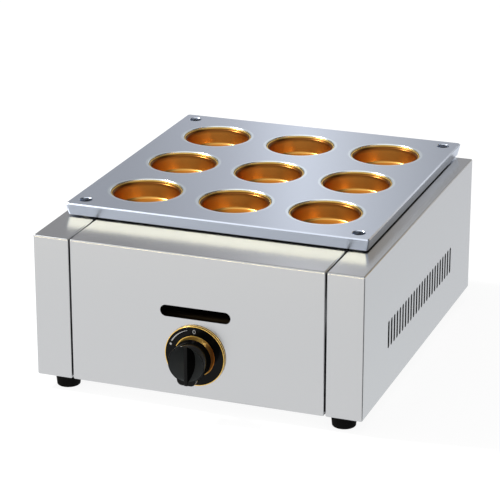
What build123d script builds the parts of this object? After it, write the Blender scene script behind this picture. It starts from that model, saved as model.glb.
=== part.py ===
from build123d import *
import math
import os

# A gas dorayaki maker for the countertop: a folded stainless case, a thick
# aluminium plate with nine brass moulds, three tube burners and one gas valve.
# Millimetres. The origin is on the counter, under the middle of the case.
# +Z is up and the front, with its knob, faces -Y.

# Case: it reaches past the field of moulds by these margins
mould_margin_left = 31.85
mould_margin_right = 45.45
mould_margin_front = 92.75
mould_margin_back = 23.75
body_height = 152.0
ground_clearance = 15.0
sheet = 1.2
bend_radius = 1.8
corner_strip = 38.4
seam_gap = 1.5
seam_return = 6.0
bottom_flange = 12.0
overrun = 3.0
fit_gap = 0.3

# Front slot for lighting and watching the burners
slot_width = 75.0
slot_height = 12.2
slot_above_base = 89.8

# Vent slots in the sides and the back
vent_count = 24
back_vent_count = 14
vent_pitch = 9.93
vent_width = 5.2
vent_height = 29.5
vent_above_base = 60.9

# Base pan
pan_side_gap = 1.0
pan_lip = 10.0
pan_slot_length = 60.0
pan_slot_width = 6.0
pan_slot_pitch_x = 22.0
pan_slot_pitch_y = 80.0
pan_slot_columns = 9
pan_slot_rows = 3

# Rubber feet and their bolts
foot_top_radius = 13.5
foot_floor_radius = 12.0
foot_inset_x = 25.2
foot_inset_y = 20.8
foot_recess_radius = 6.0
foot_recess_depth = 7.0
foot_edge_fillet = 1.2
foot_bolt_radius = 2.5
foot_bolt_head_radius = 4.5
foot_bolt_head_height = 3.0
foot_nut_flats = 8.0
foot_nut_height = 4.0
foot_nut_room = 1.0
foot_bolt_tip = 1.5

# Sheet-metal screws
screw_radius = 1.5
screw_head_radius = 2.8
screw_head_height = 1.8
screw_grip = 6.0
screw_play = 0.1
recess_width = 0.7
recess_length = 3.2
recess_depth = 1.0
base_screw_spread_x = 95.0
base_screw_spread_y = 120.0

# Mould plate: its lands are the metal outside the field of moulds
plate_land_left = 25.75
plate_land_right = 29.15
plate_land_front = 28.75
plate_land_back = 31.95
plate_thickness = 12.5
plate_gap = 1.6
plate_draft = 2.4
plate_corner_radius = 2.5
plate_edge_chamfer = 1.2
hole_chamfer = 0.6

# Plate screws at its corners
plate_screw_land = 9.6
plate_bore_radius = 6.6
plate_bore_depth = 7.5
plate_screw_radius = 2.5
plate_screw_head_radius = 4.4
plate_screw_head_height = 4.0
plate_screw_socket = 4.0
plate_screw_socket_depth = 2.2
plate_screw_play = 0.4
spacer_radius = 4.8
plate_nut_flats = 8.0
plate_nut_height = 4.0

# Moulds
cup_columns = 3
cup_rows = 3
cup_pitch_x = 98.6
cup_pitch_y = 102.5
hole_radius = 37.75
cup_rim_clearance = 0.35
cup_rim_drop = 1.4
cup_rim_height = 1.8
cup_lip_flat = 1.1
cup_lip_slope = 1.1
cup_lip_step = 0.5
cup_ledge = 2.0
cup_body_clearance = 0.25
cup_wall = 1.5
cup_floor_radius = 31.5
cup_floor_depth = 19.5
cup_floor_fillet = 3.0

# Firebox and heat shield
firebox_side_room = 2.4
firebox_end_room = 4.0
firebox_wall = 1.5
firebox_foot = 10.0
firebox_foot_trim = 16.0
firebox_screw_inset = 30.0
window_margin = 4.0
shield_side_gap = 9.5
shield_end_gap = 12.0
shield_height = 32.0
shield_foot = 9.0

# Burners
burner_count = 3
burner_pitch = 98.6
burner_radius = 12.0
burner_wall = 1.2
burner_above_base = 68.0
burner_front_gap = 2.0
burner_rear_gap = 10.0
port_count = 26
port_pitch = 9.6
port_width = 1.0
port_length = 11.0
port_start = 18.0
mixer_bell_radius = 12.6
mixer_throat_radius = 7.0
mixer_wall = 1.2
mixer_bell_length = 10.0
mixer_reach_over_jet = 3.5
mixer_spigot_length = 9.0
mixer_collar = 1.6
bracket_height = 30.0
bracket_tab = 12.0
bracket_tab_height = 15.0
bracket_from_rear = 14.0

# Gas valve, on the knob's axis
knob_axis_above_base = 46.0
valve_nose_gap = 1.0
valve_nose_radius = 6.6
valve_nose_length = 4.0
bonnet_radius = 15.0
bonnet_thickness = 4.0
valve_radius = 14.5
valve_length = 44.0
spring_chamber_radius = 8.6
spring_chamber_length = 16.0
plug_front_radius = 8.0
plug_rear_radius = 6.6
plug_length = 21.5
plug_clearance = 0.05
plug_gas_radius = 2.5
inlet_chamber_length = 4.5
valve_port_radius = 2.2
valve_boss_radius = 7.0
inlet_block = 16.0
outlet_from_plug_front = 17.5
valve_screw_spread = 11.4
valve_screw_depth = 8.0
valve_screw_grip = 5.0

# Stem and its return spring
stem_radius = 4.0
stem_flat = 1.0
stem_clearance = 0.06
stem_rear_room = 1.0
stem_in_plug = 8.0
collar_radius = 6.5
collar_thickness = 2.0
collar_gap = 0.2
push_travel = 5.0
spring_wire = 1.0
spring_radius = 5.8
spring_turns = 5

# Valve bracket
valve_bracket_sheet = 1.5
valve_bracket_width = 40.0
valve_bracket_foot = 14.0
valve_bracket_screw_inset = 5.0
valve_bracket_screw_side = 10.0
valve_bracket_above_axis = 16.0

# Bezel and dial face
bezel_radius = 31.7
bezel_thickness = 3.0
bezel_rim = 0.8
bezel_rim_round = 0.25
bezel_ring_radius = 21.5
bezel_dish_radius = 15.5
bezel_dish_depth = 1.8
bezel_hole_radius = 9.2
dial_face_depth = 0.7
dial_face_relief = 0.2
bezel_edge_round = 0.5
bezel_stud_radius = 1.5
bezel_stud_spread = 26.0
bezel_stud_length = 4.0
push_nut_radius = 4.0
push_nut_thickness = 0.8

# Knob
knob_reach = 27.0
knob_rim_reach = 25.8
knob_back_reach = 8.5
knob_hub_reach = 5.8
knob_back_radius = 20.2
knob_front_radius = 19.4
knob_rim_land = 0.5
knob_rim_flat = 0.4
knob_dish_radius = 20.0
knob_edge_round = 1.0
knob_hub_radius = 7.4
knob_skirt_wall = 2.4
knob_hollow_depth = 2.4
ridge_front_width = 3.2
ridge_foot_width = 11.0
ridge_foot_reach = 13.0
ridge_round = 0.8
ridge_end_inset = 0.3
heel_width = 20.0
heel_reach_down = 22.9
heel_corner = 5.5
stem_in_knob = 9.0

# Manifold and injectors
manifold_radius = 6.5
manifold_wall = 1.2
manifold_end = 13.0
injector_flats = 10.0
injector_hex_length = 7.0
injector_nozzle_radius = 3.4
injector_nozzle_length = 4.0
injector_bore_radius = 1.6
injector_orifice_radius = 0.5
injector_orifice_length = 1.5

# Gas supply, from the back of the case to the valve
supply_x = 100.0
supply_above_base = 24.0
pipe_radius = 4.0
pipe_wall = 0.8
pipe_bend = 25.0
pipe_socket = 6.0
pipe_fit = 0.05
pipe_nut_flats = 14.0
pipe_nut_length = 6.0
inlet_reach = 27.0
inlet_radius = 10.48
inlet_hex_flats = 26.0
inlet_hex_length = 8.0
inlet_bore_radius = 5.0
inlet_chamfer = 0.8
inlet_shank_radius = 8.0
inlet_shank_length = 12.0
inlet_nut_flats = 22.0
inlet_nut_height = 5.0
pipe_hole_play = 1.5

# Places worked out from the sizes above
cup_field_half_x = cup_pitch_x * (cup_columns - 1) / 2 + hole_radius
cup_field_half_y = cup_pitch_y * (cup_rows - 1) / 2 + hole_radius
half_width = cup_field_half_x + (mould_margin_left + mould_margin_right) / 2
back_y = cup_field_half_y + (mould_margin_front + mould_margin_back) / 2
front_y = -back_y
cup_field_x = (mould_margin_left - mould_margin_right) / 2
cup_field_y = (mould_margin_front - mould_margin_back) / 2
base_z = ground_clearance
deck_z = base_z + body_height
pan_z = base_z + sheet
floor_z = pan_z + sheet
strip_edge = half_width - corner_strip
panel_half = strip_edge - seam_gap
plate_z = deck_z + plate_gap
plate_top = plate_z + plate_thickness
plate_x = cup_field_x + (plate_land_right - plate_land_left) / 2
plate_y = cup_field_y + (plate_land_back - plate_land_front) / 2
plate_width = cup_field_half_x * 2 + plate_land_left + plate_land_right
plate_depth = cup_field_half_y * 2 + plate_land_front + plate_land_back
firebox_half = cup_field_half_x - cup_ledge + firebox_side_room + firebox_wall
firebox_half_y = cup_field_half_y - cup_ledge + firebox_end_room + firebox_wall
firebox_left = cup_field_x - firebox_half
firebox_right = cup_field_x + firebox_half
firebox_front = cup_field_y - firebox_half_y
firebox_back = cup_field_y + firebox_half_y
axis_z = base_z + knob_axis_above_base
slot_z = base_z + slot_above_base
vent_z = base_z + vent_above_base
burner_z = base_z + burner_above_base
supply_z = base_z + supply_above_base
foot_x = half_width - foot_inset_x
foot_y = back_y - foot_inset_y
foot_neck_radius = min(foot_inset_x, foot_inset_y) - bottom_flange - fit_gap
shield_half = firebox_half - firebox_wall - shield_side_gap - shield_foot
shield_front = firebox_front + firebox_wall + shield_end_gap
shield_back = firebox_back - firebox_wall - shield_end_gap

# Places along the knob's axis, from the front backwards
nose_front = front_y + sheet + valve_nose_gap
bonnet_front = nose_front + valve_nose_length
bonnet_rear = bonnet_front + bonnet_thickness
valve_rear = bonnet_rear + valve_length
plug_front = bonnet_rear + spring_chamber_length
plug_rear = plug_front + plug_length
outlet_y = plug_front + outlet_from_plug_front
injector_tip_y = outlet_y + manifold_radius + injector_hex_length + injector_nozzle_length
inlet_chamber_y = plug_rear + inlet_chamber_length / 2
bracket_front = bonnet_front - valve_bracket_sheet

# Screws into the base pan: middle, x from it, y and the height under the head
firebox_screw_x = firebox_half + firebox_foot / 2
firebox_screw_y = (firebox_front + firebox_screw_inset, firebox_back - firebox_screw_inset)
shield_screw_x = shield_half + shield_foot / 2
shield_screw_y = (shield_front + bracket_tab, shield_back - bracket_tab)
bracket_screw_x = valve_bracket_width / 2 - valve_bracket_screw_side
bracket_screw_y = bonnet_front + valve_bracket_foot - valve_bracket_screw_inset
chassis_screw_places = [
    (middle + side * x, y, floor_z + grip)
    for middle, x, places, grip in (
        (cup_field_x, firebox_screw_x, firebox_screw_y, firebox_wall),
        (cup_field_x, shield_screw_x, shield_screw_y, sheet),
        (0, bracket_screw_x, (bracket_screw_y,), valve_bracket_sheet),
    )
    for side in (-1, 1)
    for y in places
]


def span(x0, x1, y0, y1, z0, z1):
    """Block between two corners."""
    return Pos((x0 + x1) / 2, (y0 + y1) / 2, (z0 + z1) / 2) * Box(x1 - x0, y1 - y0, z1 - z0)


def rod_x(radius, y, z, x0, x1):
    return Pos((x0 + x1) / 2, y, z) * Rot(0, 90, 0) * Cylinder(radius, x1 - x0)


def rod_y(radius, x, z, y0, y1):
    return Pos(x, (y0 + y1) / 2, z) * Rot(90, 0, 0) * Cylinder(radius, y1 - y0)


def rod_z(radius, x, y, z0, z1):
    return Pos(x, y, (z0 + z1) / 2) * Cylinder(radius, z1 - z0)


def hex_y(flats, x, z, y0, y1):
    """Hexagonal bar along Y, given by its width across flats."""
    plane = Plane(origin=(x, y0, z), x_dir=(1, 0, 0), z_dir=(0, 1, 0))
    return extrude(plane * RegularPolygon(flats / 2, 6, major_radius=False), y1 - y0)


def hex_z(flats, x, y, z0, z1):
    plane = Plane(origin=(x, y, z0), x_dir=(1, 0, 0), z_dir=(0, 0, 1))
    return extrude(plane * RegularPolygon(flats / 2, 6, major_radius=False), z1 - z0)


def turned_z(points, x, y, radii=None):
    """Solid turned about a vertical line; points are (radius, z)."""
    outline = FilletPolyline(*points, radius=radii or [0] * len(points), close=True)
    return Pos(x, y, 0) * revolve(Plane.XZ * make_face(outline), Axis.Z)


def turned_y(points, x, z, radii=None):
    """Solid turned about a line along Y; points are (radius, y)."""
    outline = FilletPolyline(*points, radius=radii or [0] * len(points), close=True)
    return Pos(x, 0, z) * revolve(make_face(outline), Axis.Y)


def slot_y(width, height, x, z, y0, y1):
    """Round-ended slot through a wall that faces Y, longest along X."""
    half = (width - height) / 2
    ends = rod_y(height / 2, x - half, z, y0, y1) + rod_y(height / 2, x + half, z, y0, y1)
    return ends + span(x - half, x + half, y0, y1, z - height / 2, z + height / 2)


def upright_slot_y(width, height, x, z, y0, y1):
    """Round-ended slot through a wall that faces Y, longest along Z."""
    half = (height - width) / 2
    ends = rod_y(width / 2, x, z - half, y0, y1) + rod_y(width / 2, x, z + half, y0, y1)
    return ends + span(x - width / 2, x + width / 2, y0, y1, z - half, z + half)


def upright_slot_x(width, height, y, z, x0, x1):
    """Round-ended slot through a wall that faces X, longest along Z."""
    half = (height - width) / 2
    ends = rod_x(width / 2, y, z - half, x0, x1) + rod_x(width / 2, y, z + half, x0, x1)
    return ends + span(x0, x1, y - width / 2, y + width / 2, z - half, z + half)


def folded_shell(x0, x1, y0, y1, z0, z1):
    """Closed box of sheet metal with bent edges; the panels are cut from it."""
    outer = span(x0, x1, y0, y1, z0, z1)
    outer = fillet(outer.edges(), bend_radius)
    inner = span(x0 + sheet, x1 - sheet, y0 + sheet, y1 - sheet, z0 + sheet, z1 - sheet)
    inner = fillet(inner.edges(), bend_radius - sheet)
    return outer - inner


def grid(count, pitch):
    """Evenly spaced places about zero."""
    return [(i - (count - 1) / 2) * pitch for i in range(count)]


def pan_head_screw(length):
    """Cross-recessed screw at the origin: head below z=0, shank up to length."""
    head = turned_z(
        [
            (0, -screw_head_height), (screw_head_radius, -screw_head_height),
            (screw_head_radius, 0), (0, 0),
        ],
        0, 0, [0, screw_head_height / 2, 0, 0],
    )
    screw = head + rod_z(screw_radius, 0, 0, 0, length)
    low = -screw_head_height - overrun
    high = recess_depth - screw_head_height
    half_long = recess_length / 2
    half_thin = recess_width / 2
    screw -= span(-half_long, half_long, -half_thin, half_thin, low, high)
    return screw - span(-half_thin, half_thin, -half_long, half_long, low, high)


screw_from_below = pan_head_screw(screw_grip)
screw_from_above = Rot(180, 0, 0) * screw_from_below
screw_hole_radius = screw_radius + screw_play

# Screws that join the covers and panels to the base pan, seen from below
pan_edge_y = back_y - seam_return - sheet / 2
base_screw_y = (pan_edge_y + back_y - bottom_flange) / 2
base_screw_x = half_width - bottom_flange / 2 - sheet
base_screw_places = [
    (x, y) for x in (-base_screw_spread_x, base_screw_spread_x) for y in (-base_screw_y, base_screw_y)
]
base_screw_places += [
    (x, y) for x in (-base_screw_x, base_screw_x) for y in (-base_screw_spread_y, 0, base_screw_spread_y)
]


def base_screw_holes():
    low = base_z - overrun
    holes = [rod_z(screw_hole_radius, x, y, low, floor_z + overrun) for x, y in base_screw_places]
    return Part() + holes


def end_panel_shell(side):
    """Front (side -1) or back (side 1) panel with its deck lip and flanges."""
    lip_end = (firebox_front if side < 0 else firebox_back) + side * seam_gap
    near, far = sorted((side * back_y, lip_end))
    panel = folded_shell(-panel_half, panel_half, near, far, base_z, deck_z)
    cut_near, cut_far = sorted((side * (back_y - seam_return), lip_end - side * overrun))
    low = base_z - overrun
    high = deck_z - seam_return
    panel -= span(-half_width, half_width, cut_near, cut_far, low, high)
    return panel - base_screw_holes()


def front_panel():
    panel = end_panel_shell(-1)
    # The bottom flange was trimmed with the sides; it is wider than their returns
    flange = span(
        -panel_half + sheet, panel_half - sheet, front_y + seam_return - sheet, front_y + bottom_flange,
        base_z, base_z + sheet,
    )
    panel += flange - base_screw_holes()
    reach_in = front_y + sheet + overrun
    panel -= slot_y(slot_width, slot_height, 0, slot_z, front_y - overrun, reach_in)
    panel -= rod_y(valve_nose_radius + fit_gap, 0, axis_z, front_y - overrun, reach_in)
    for x in (-bezel_stud_spread, bezel_stud_spread):
        panel -= rod_y(bezel_stud_radius + screw_play, x, axis_z, front_y - overrun, reach_in)
    return panel


def back_panel():
    panel = end_panel_shell(1)
    flange = span(
        -panel_half + sheet, panel_half - sheet, back_y - bottom_flange, back_y - seam_return + sheet,
        base_z, base_z + sheet,
    )
    panel += flange - base_screw_holes()
    reach_in = back_y - sheet - overrun
    for x in grid(back_vent_count, vent_pitch):
        panel -= upright_slot_y(vent_width, vent_height, x, vent_z, reach_in, back_y + overrun)
    hole = inlet_shank_radius + fit_gap
    return panel - rod_y(hole, supply_x, supply_z, reach_in, back_y + overrun)


def blank_cover():
    """Right cover: side wall, its strips on the front, back and deck, and the vents."""
    cover = folded_shell(strip_edge, half_width, front_y, back_y, base_z, deck_z)
    opening_y = back_y - seam_return
    low = base_z - overrun
    past_edge = strip_edge - overrun
    side_inner = half_width - sheet
    side_in = half_width - bottom_flange
    bend_end = strip_edge + bend_radius
    cover -= span(past_edge, bend_end, -opening_y, opening_y, low, deck_z - seam_return)
    flange_y = back_y - bottom_flange
    cover -= span(past_edge, side_in, -flange_y, flange_y, low, base_z + bend_radius)
    for y in grid(vent_count, vent_pitch):
        vent = upright_slot_x(vent_width, vent_height, y, vent_z, side_inner - overrun, half_width + overrun)
        cover -= vent
    return cover - base_screw_holes()


def side_cover(side):
    """Left (side -1) or right (side 1) cover, its deck strip clear of the firebox."""
    cover = blank_cover() if side > 0 else mirror(blank_cover(), about=Plane.YZ)
    low = deck_z - seam_return - overrun
    high = deck_z + overrun
    clear_x = (firebox_right if side > 0 else firebox_left) + side * seam_gap
    x0, x1 = sorted((0, clear_x))
    cover -= span(x0, x1, firebox_front - seam_gap, firebox_back + seam_gap, low, high)
    for x, y in plate_screw_places:
        cover -= rod_z(plate_screw_radius + plate_screw_play, x, y, low, high)
    return cover


def base_pan():
    """Bottom tray with two upturned sides and rows of air slots."""
    half_x = half_width - sheet - pan_side_gap
    pan = span(-half_x, half_x, -pan_edge_y, pan_edge_y, pan_z, floor_z)
    lip_y = back_y - bottom_flange - bend_radius
    for side in (-1, 1):
        x0, x1 = sorted((side * half_x, side * (half_x - sheet)))
        pan += span(x0, x1, -lip_y, lip_y, floor_z, floor_z + pan_lip)
    for x in grid(pan_slot_columns, pan_slot_pitch_x):
        for y in grid(pan_slot_rows, pan_slot_pitch_y):
            slot = Box(pan_slot_width, pan_slot_length, (sheet + overrun) * 2)
            pan -= Pos(x, y, floor_z) * slot
    for x in (-foot_x, foot_x):
        for y in (-foot_y, foot_y):
            pan -= rod_z(foot_bolt_radius + screw_play, x, y, pan_z - overrun, floor_z + overrun)
    for x, y, seat in chassis_screw_places:
        pan -= rod_z(screw_hole_radius, x, y, pan_z - overrun, seat)
    return pan - base_screw_holes()


def foot(x, y):
    """Tapered rubber foot with a neck between the flanges and a recess below for its bolt."""
    outline = [
        (0, pan_z), (foot_neck_radius, pan_z), (foot_neck_radius, base_z), (foot_top_radius, base_z),
        (foot_floor_radius, 0), (0, 0),
    ]
    solid = turned_z(outline, x, y, [0, 0, 0, foot_edge_fillet, foot_edge_fillet, 0])
    solid -= rod_z(foot_recess_radius, x, y, -overrun, foot_recess_depth)
    return solid - rod_z(foot_bolt_radius + screw_play, x, y, 0, pan_z + overrun)


def foot_bolt(x, y):
    head_low = foot_recess_depth - foot_bolt_head_height
    bolt = hex_z(foot_bolt_head_radius * 2, x, y, head_low, foot_recess_depth)
    tip = floor_z + foot_nut_height + foot_bolt_tip
    return bolt + rod_z(foot_bolt_radius, x, y, foot_recess_depth, tip)


def foot_nut(x, y):
    top = floor_z + foot_nut_height
    nut = hex_z(foot_nut_flats, x, y, floor_z, top)
    return nut - rod_z(foot_bolt_radius + pipe_fit, x, y, floor_z - overrun, top + overrun)


# Mould plate, its moulds and its screws
plate_screw_x = firebox_half + plate_screw_land
plate_screw_y = firebox_half_y + plate_screw_land
plate_screw_places = [
    (plate_x + side * plate_screw_x, plate_y + end * plate_screw_y) for side in (-1, 1) for end in (-1, 1)
]
cup_centres = {
    (row + 1, column + 1): (cup_field_x + x, cup_field_y - y)
    for row, y in enumerate(grid(cup_rows, cup_pitch_y))
    for column, x in enumerate(grid(cup_columns, cup_pitch_x))
}
cup_rim_radius = hole_radius - cup_rim_clearance
cup_rim_top = plate_top - cup_rim_drop
cup_rim_low = cup_rim_top - cup_rim_height
cup_ledge_radius = hole_radius - cup_ledge
cup_floor_z = plate_top - cup_floor_depth
bore_floor_z = plate_top - plate_bore_depth


def mould_plate():
    """Thick plate with drafted sides, stepped mould holes and sunk screw holes."""
    outline = RectangleRounded(plate_width, plate_depth, plate_corner_radius)
    foot_outline = RectangleRounded(
        plate_width - plate_draft * 2, plate_depth - plate_draft * 2, plate_corner_radius
    )
    upper = Pos(plate_x, plate_y, plate_top - plate_edge_chamfer) * outline
    crest = Pos(plate_x, plate_y, plate_top) * RectangleRounded(
        plate_width - plate_edge_chamfer * 2, plate_depth - plate_edge_chamfer * 2, plate_corner_radius
    )
    plate = loft([Pos(plate_x, plate_y, plate_z) * foot_outline, upper], ruled=True)
    plate += loft([upper, crest], ruled=True)
    for x, y in cup_centres.values():
        plate -= turned_z(
            [
                (0, plate_z - overrun), (cup_ledge_radius, plate_z - overrun),
                (cup_ledge_radius, cup_rim_low),
                (hole_radius, cup_rim_low), (hole_radius, plate_top - hole_chamfer),
                (hole_radius + hole_chamfer, plate_top), (hole_radius + hole_chamfer, plate_top + overrun),
                (0, plate_top + overrun),
            ],
            x, y,
        )
    reach = plate_screw_radius + plate_screw_play
    for x, y in plate_screw_places:
        plate -= turned_z(
            [
                (0, plate_z - overrun), (reach, plate_z - overrun), (reach, bore_floor_z),
                (plate_bore_radius, bore_floor_z), (plate_bore_radius, plate_top - hole_chamfer),
                (plate_bore_radius + hole_chamfer, plate_top),
                (plate_bore_radius + hole_chamfer, plate_top + overrun), (0, plate_top + overrun),
            ],
            x, y,
        )
    return plate


def mould_cup(x, y):
    """Turned brass mould: a rim that sits on the hole's ledge, a sloped lip and a tapered bowl."""
    lip_outer = cup_rim_radius - cup_lip_flat
    lip_inner = lip_outer - cup_lip_slope
    wall_top = lip_inner - cup_lip_step
    body_radius = cup_ledge_radius - cup_body_clearance
    underside = cup_floor_z - cup_wall
    points = [
        (0, underside), (cup_floor_radius + cup_wall, underside), (body_radius, cup_rim_low - cup_wall),
        (body_radius, cup_rim_low), (cup_rim_radius, cup_rim_low), (cup_rim_radius, cup_rim_top),
        (lip_outer, cup_rim_top), (lip_inner, cup_rim_low), (wall_top, cup_rim_low - cup_lip_step),
        (cup_floor_radius, cup_floor_z), (0, cup_floor_z),
    ]
    rounds = [0] * len(points)
    rounds[1] = cup_floor_fillet
    rounds[6] = cup_lip_flat / 2
    rounds[9] = cup_floor_fillet
    return turned_z(points, x, y, rounds)


def plate_spacer(x, y):
    spacer = rod_z(spacer_radius, x, y, deck_z, plate_z)
    return spacer - rod_z(plate_screw_radius + plate_screw_play, x, y, deck_z - overrun, plate_z + overrun)


def plate_screw(x, y):
    """Socket-head screw, its head on the floor of the sunk hole."""
    head_top = bore_floor_z + plate_screw_head_height
    screw = rod_z(plate_screw_head_radius, x, y, bore_floor_z, head_top)
    screw += rod_z(plate_screw_radius, x, y, deck_z - sheet - plate_nut_height, bore_floor_z)
    return screw - hex_z(plate_screw_socket, x, y, head_top - plate_screw_socket_depth, head_top + overrun)


def plate_nut(x, y):
    low = deck_z - sheet - plate_nut_height
    nut = hex_z(plate_nut_flats, x, y, low, deck_z - sheet)
    return nut - rod_z(plate_screw_radius + pipe_fit, x, y, low - overrun, deck_z + overrun)


# Firebox and what it carries
burner_places = [cup_field_x + x for x in grid(burner_count, burner_pitch)]
burner_rear = firebox_back - firebox_wall - burner_rear_gap
burner_front = firebox_front - burner_front_gap
bracket_y = burner_rear - bracket_from_rear


def firebox():
    """Four-walled box that carries the plate, with feet bent out along its sides."""
    inner = firebox_half - firebox_wall
    box = span(firebox_left, firebox_right, firebox_front, firebox_back, floor_z, plate_z)
    box -= span(
        firebox_left + firebox_wall, firebox_right - firebox_wall,
        firebox_front + firebox_wall, firebox_back - firebox_wall, floor_z - overrun, plate_z + overrun,
    )
    foot_end = firebox_half + firebox_foot
    for side in (-1, 1):
        x0, x1 = sorted((cup_field_x + side * firebox_half, cup_field_x + side * foot_end))
        foot_start = firebox_front + firebox_foot_trim
        foot_stop = firebox_back - firebox_foot_trim
        box += span(x0, x1, foot_start, foot_stop, floor_z, floor_z + firebox_wall)
        for y in firebox_screw_y:
            x = cup_field_x + side * firebox_screw_x
            box -= rod_z(screw_hole_radius, x, y, floor_z - overrun, floor_z + firebox_wall + overrun)
    # The walls' lower corners are cut out round the nuts of the feet
    nut_radius = foot_nut_flats / math.sqrt(3) + foot_nut_room
    nut_top = floor_z + foot_nut_height + foot_bolt_tip + foot_nut_room
    for x in (-foot_x, foot_x):
        for y in (-foot_y, foot_y):
            box -= rod_z(nut_radius, x, y, floor_z - overrun, nut_top)
    wall_in = firebox_front + firebox_wall + overrun
    for x in burner_places:
        box -= rod_y(burner_radius + fit_gap, x, burner_z, firebox_front - overrun, wall_in)
    window_height = slot_height + window_margin
    window_width = slot_width + window_margin
    box -= slot_y(window_width, window_height, 0, slot_z, firebox_front - overrun, wall_in)
    rear_in = firebox_back - firebox_wall - overrun
    pipe_hole = pipe_radius + pipe_hole_play
    nut_hole = pipe_nut_flats / math.sqrt(3) + pipe_hole_play
    box -= rod_y(pipe_hole, supply_x, supply_z, firebox_front - overrun, wall_in)
    box -= rod_y(nut_hole, supply_x, supply_z, rear_in, firebox_back + overrun)
    for side in (-1, 1):
        x0, x1 = sorted((side * (inner - overrun), side * (firebox_half + overrun)))
        hole_y = bracket_y - bracket_tab / 2
        box -= rod_x(screw_hole_radius, hole_y, burner_z, cup_field_x + x0, cup_field_x + x1)
    return box


def heat_shield():
    """Bridge of sheet under the burners, on two bent legs."""
    top = floor_z + shield_height
    shield = span(-shield_half, shield_half, shield_front, shield_back, floor_z, top)
    inner = shield_half - sheet
    shield -= span(
        -inner, inner, shield_front - overrun, shield_back + overrun, floor_z - overrun, top - sheet
    )
    for side in (-1, 1):
        x0, x1 = sorted((side * (shield_half - sheet), side * (shield_half + shield_foot)))
        shield += span(x0, x1, shield_front, shield_back, floor_z, floor_z + sheet)
        for y in shield_screw_y:
            x = side * shield_screw_x
            shield -= rod_z(screw_hole_radius, x, y, floor_z - overrun, floor_z + sheet + overrun)
    return Pos(cup_field_x, 0, 0) * shield


def burner_tube(x):
    """Closed steel tube with a row of cross slots along its crest."""
    tube = rod_y(burner_radius, x, burner_z, burner_front, burner_rear)
    bore_end = burner_rear - burner_wall
    tube -= rod_y(burner_radius - burner_wall, x, burner_z, burner_front - overrun, bore_end)
    slot_edge = math.sqrt(burner_radius**2 - (port_length / 2) ** 2)
    low = burner_z + slot_edge - burner_wall
    for i in range(port_count):
        y = firebox_front + port_start + i * port_pitch
        tube -= span(
            x - port_length / 2, x + port_length / 2, y - port_width / 2, y + port_width / 2,
            low, burner_z + burner_radius + overrun,
        )
    return tube


def air_mixer(x):
    """Bell mouth that draws air in around the injector and feeds the tube."""
    spigot_radius = burner_radius - burner_wall - screw_play
    collar_front = burner_front - mixer_collar
    bell_front = injector_tip_y - mixer_reach_over_jet
    throat_front = bell_front + mixer_bell_length
    spigot_rear = burner_front + mixer_spigot_length
    return turned_y(
        [
            (mixer_throat_radius, throat_front), (mixer_bell_radius - mixer_wall, bell_front),
            (mixer_bell_radius, bell_front), (mixer_throat_radius + mixer_wall, throat_front),
            (mixer_throat_radius + mixer_wall, collar_front), (burner_radius, collar_front),
            (burner_radius, burner_front), (spigot_radius, burner_front), (spigot_radius, spigot_rear),
            (spigot_radius - mixer_wall, spigot_rear), (mixer_throat_radius, collar_front),
        ],
        x, burner_z,
    )


def burner_bracket():
    """Cross plate that holds the burners' rear ends, with tabs screwed to the firebox."""
    half = firebox_half - firebox_wall
    low = burner_z - bracket_height / 2
    high = low + bracket_height
    plate = span(cup_field_x - half, cup_field_x + half, bracket_y, bracket_y + sheet, low, high)
    hole = burner_radius + screw_play
    for x in burner_places:
        plate -= rod_y(hole, x, burner_z, bracket_y - overrun, bracket_y + sheet + overrun)
    for side in (-1, 1):
        x0, x1 = sorted((side * half, side * (half - sheet)))
        tab_low = burner_z - bracket_tab_height / 2
        tab = span(x0, x1, bracket_y - bracket_tab, bracket_y, tab_low, tab_low + bracket_tab_height)
        x0, x1 = sorted((side * (half - overrun), side * (half + overrun)))
        tab -= rod_x(screw_hole_radius, bracket_y - bracket_tab / 2, burner_z, x0, x1)
        plate += Pos(cup_field_x, 0, 0) * tab
    return plate


def bracket_screws():
    y = bracket_y - bracket_tab / 2
    right = Pos(firebox_right, y, burner_z) * Rot(0, -90, 0) * screw_from_below
    left = Pos(firebox_left, y, burner_z) * Rot(0, 90, 0) * screw_from_below
    return [right, left]


# Gas valve
manifold_z = burner_z
valve_screw_sides = (-valve_screw_spread, valve_screw_spread)


def plug_outline(grow):
    """Taper of the plug, or of its seat when grown by the clearance."""
    return [
        (0, plug_front), (plug_front_radius + grow, plug_front),
        (plug_rear_radius + grow, plug_rear), (0, plug_rear),
    ]


def valve_body():
    """Brass body: barrel, gas inlet block below and outlet boss under the manifold."""
    body = rod_y(valve_radius, 0, axis_z, bonnet_rear, valve_rear)
    body += rod_z(valve_boss_radius, 0, outlet_y, axis_z, manifold_z - injector_flats / 2)
    half_block = inlet_block / 2
    block_low = supply_z - half_block
    block_front = inlet_chamber_y - half_block
    body += span(-half_block, half_block, block_front, block_front + inlet_block, block_low, axis_z)
    body -= rod_x(manifold_radius, outlet_y, manifold_z, -inlet_block, inlet_block)
    body -= rod_y(spring_chamber_radius, 0, axis_z, bonnet_rear - overrun, plug_front)
    body -= turned_y(plug_outline(plug_clearance), 0, axis_z)
    body -= rod_y(plug_rear_radius + plug_clearance, 0, axis_z, plug_rear, plug_rear + inlet_chamber_length)
    body -= rod_z(valve_port_radius, 0, outlet_y, axis_z, manifold_z)
    body -= rod_z(valve_port_radius, 0, inlet_chamber_y, supply_z, axis_z)
    body -= rod_x(pipe_radius - pipe_wall, inlet_chamber_y, supply_z, 0, half_block + overrun)
    socket_start = half_block - pipe_socket
    body -= rod_x(pipe_radius + pipe_fit, inlet_chamber_y, supply_z, socket_start, half_block + overrun)
    for x in valve_screw_sides:
        body -= rod_y(screw_hole_radius, x, axis_z, bonnet_rear - overrun, bonnet_rear + valve_screw_depth)
    return body


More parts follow.
